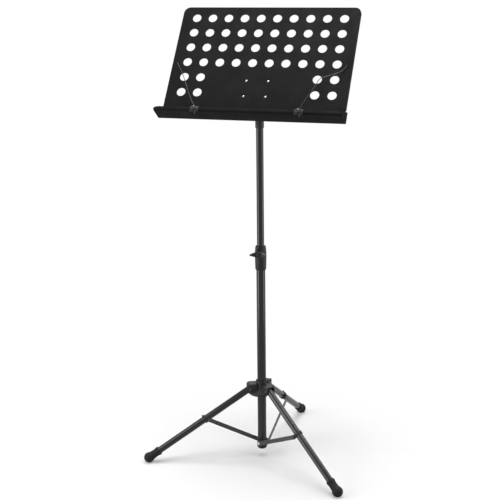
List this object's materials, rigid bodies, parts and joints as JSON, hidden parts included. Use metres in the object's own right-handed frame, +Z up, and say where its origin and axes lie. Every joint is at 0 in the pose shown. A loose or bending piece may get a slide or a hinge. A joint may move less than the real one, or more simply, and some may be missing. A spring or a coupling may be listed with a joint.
{
  "type": "music stand",
  "caption": "Orchestra music stand: perforated folding-tripod desk stand with a tilting sheet-steel desk, lipped tray, wire page holders and telescopic post.",
  "frame": {"origin": "centre of the stand's plan box, at floor level", "axes": "+Z up along the post, the desk faces -Y, +X to the reader's right"},
  "size_m": [0.5959, 0.5468, 1.269],
  "materials": {
    "black_paint": "fine-textured black powder coat",
    "black_tube": "satin black powder coat",
    "black_plastic": "moulded black plastic",
    "rubber": "matt black rubber",
    "zinc": "zinc-plated steel",
    "brass": "turned brass",
    "wire": "blackened spring wire",
    "strut_steel": "thin dark coating on strip steel"
  },
  "bodies": {
    "base": {"lower_tube": "black_tube", "base_bracket": "black_plastic", "height_collar": "black_plastic", "collar_insert": "brass", "guide_bush": "black_plastic", "base_pin_left": "zinc", "base_pin_right": "zinc", "base_pin_rear": "zinc"},
    "collar_knob": {"collar_knob": "black_plastic"},
    "hub": {"leg_hub": "black_plastic", "leg_pin_left": "zinc", "leg_pin_right": "zinc", "leg_pin_rear": "zinc"},
    "hub_knob": {"hub_knob": "black_plastic"},
    "leg_left": {"leg_left": "black_tube", "leg_clip_left": "black_plastic", "foot_left": "rubber"},
    "leg_right": {"leg_right": "black_tube", "leg_clip_right": "black_plastic", "foot_right": "rubber"},
    "leg_rear": {"leg_rear": "black_tube", "leg_clip_rear": "black_plastic", "foot_rear": "rubber"},
    "strut_left": {"strut_left": "strut_steel", "strut_rivet_left": "zinc"},
    "strut_right": {"strut_right": "strut_steel", "strut_rivet_right": "zinc"},
    "strut_rear": {"strut_rear": "strut_steel", "strut_rivet_rear": "zinc"},
    "mast": {"upper_tube": "black_tube", "mast_plug": "black_plastic"},
    "head": {"head_socket": "black_plastic"},
    "socket_screw": {"socket_screw": "black_plastic"},
    "desk": {"desk_panel": "black_paint", "music_tray": "black_paint", "desk_bracket": "black_paint", "tilt_bolt": "zinc", "tilt_washer_1": "zinc", "tilt_washer_2": "zinc", "bracket_screw_1": "zinc", "bracket_screw_2": "zinc", "bracket_screw_3": "zinc", "bracket_screw_4": "zinc", "bracket_nut_1": "zinc", "bracket_nut_2": "zinc", "bracket_nut_3": "zinc", "bracket_nut_4": "zinc", "holder_clip_left": "black_plastic", "holder_clip_right": "black_plastic", "holder_screw_left": "zinc", "holder_screw_right": "zinc"},
    "tilt_knob": {"tilt_knob": "black_plastic"},
    "page_holder_left": {"holder_arm_left": "wire"},
    "page_holder_right": {"holder_arm_right": "wire"}
  },
  "joints": [
    {"name": "hub_slide", "type": "slide", "parent": "base", "child": "hub", "axis": [0, 0, 1], "range_m": [0, 0.1585]},
    {"name": "leg_swing_left", "type": "hinge", "parent": "hub", "child": "leg_left", "pos_m": [-0.01551, -0.08255, 0.209], "axis": [0.4163, -0.9092, 0], "range_deg": [0, 55]},
    {"name": "leg_swing_right", "type": "hinge", "parent": "hub", "child": "leg_right", "pos_m": [0.04311, -0.0881, 0.209], "axis": [0.5793, 0.8151, 0], "range_deg": [0, 55]},
    {"name": "leg_swing_rear", "type": "hinge", "parent": "hub", "child": "leg_rear", "pos_m": [0.0186, -0.03455, 0.209], "axis": [-0.9956, 0.0941, 0], "range_deg": [0, 55]},
    {"name": "strut_swing_left", "type": "hinge", "parent": "base", "child": "strut_left", "pos_m": [0.01085, -0.07048, 0.0405], "axis": [-0.4163, 0.9092, 0], "range_deg": [0, 56]},
    {"name": "strut_swing_right", "type": "hinge", "parent": "base", "child": "strut_right", "pos_m": [0.01948, -0.0713, 0.0405], "axis": [-0.5793, -0.8151, 0], "range_deg": [0, 56]},
    {"name": "strut_swing_rear", "type": "hinge", "parent": "base", "child": "strut_rear", "pos_m": [0.01587, -0.06342, 0.0405], "axis": [0.9956, -0.0941, 0], "range_deg": [0, 56]},
    {"name": "hub_knob_turn", "type": "hinge", "parent": "hub", "child": "hub_knob", "pos_m": [0.0154, -0.0684, 0.2275], "axis": [0.9092, 0.4163, 0], "continuous": true},
    {"name": "height_slide", "type": "slide", "parent": "base", "child": "mast", "axis": [0, 0, 1], "range_m": [-0.325, 0.16]},
    {"name": "collar_knob_turn", "type": "hinge", "parent": "base", "child": "collar_knob", "pos_m": [0.0154, -0.0684, 0.611], "axis": [0.0872, -0.9962, 0], "continuous": true},
    {"name": "desk_swivel", "type": "hinge", "parent": "mast", "child": "head", "pos_m": [0.0154, -0.0684, 1.022], "axis": [0, 0, 1], "continuous": true},
    {"name": "socket_screw_turn", "type": "hinge", "parent": "head", "child": "socket_screw", "pos_m": [0.0154, -0.0684, 0.99], "axis": [0, 1, 0], "continuous": true},
    {"name": "desk_tilt", "type": "hinge", "parent": "head", "child": "desk", "pos_m": [0.0154, -0.0684, 1.0414], "axis": [1, 0, 0], "range_deg": [-53, 36]},
    {"name": "tilt_knob_turn", "type": "hinge", "parent": "desk", "child": "tilt_knob", "pos_m": [0.0154, -0.0684, 1.0414], "axis": [1, 0, 0], "continuous": true},
    {"name": "holder_swing_left", "type": "hinge", "parent": "desk", "child": "page_holder_left", "pos_m": [-0.1253, -0.12265, 0.96809], "axis": [0, -0.8039, 0.5948], "range_deg": [-71, 45]},
    {"name": "holder_swing_right", "type": "hinge", "parent": "desk", "child": "page_holder_right", "pos_m": [0.1561, -0.12265, 0.96809], "axis": [0, -0.8039, 0.5948], "range_deg": [-45, 71]}
  ],
  "couplings": [
    {"joint": "leg_swing_left", "follows": "hub_slide", "rad_per_m": 6.0013},
    {"joint": "leg_swing_right", "follows": "hub_slide", "rad_per_m": 6.0013},
    {"joint": "leg_swing_rear", "follows": "hub_slide", "rad_per_m": 6.0013},
    {"joint": "strut_swing_left", "follows": "hub_slide", "rad_per_m": 6.0787},
    {"joint": "strut_swing_right", "follows": "hub_slide", "rad_per_m": 6.0787},
    {"joint": "strut_swing_rear", "follows": "hub_slide", "rad_per_m": 6.0787}
  ]
}
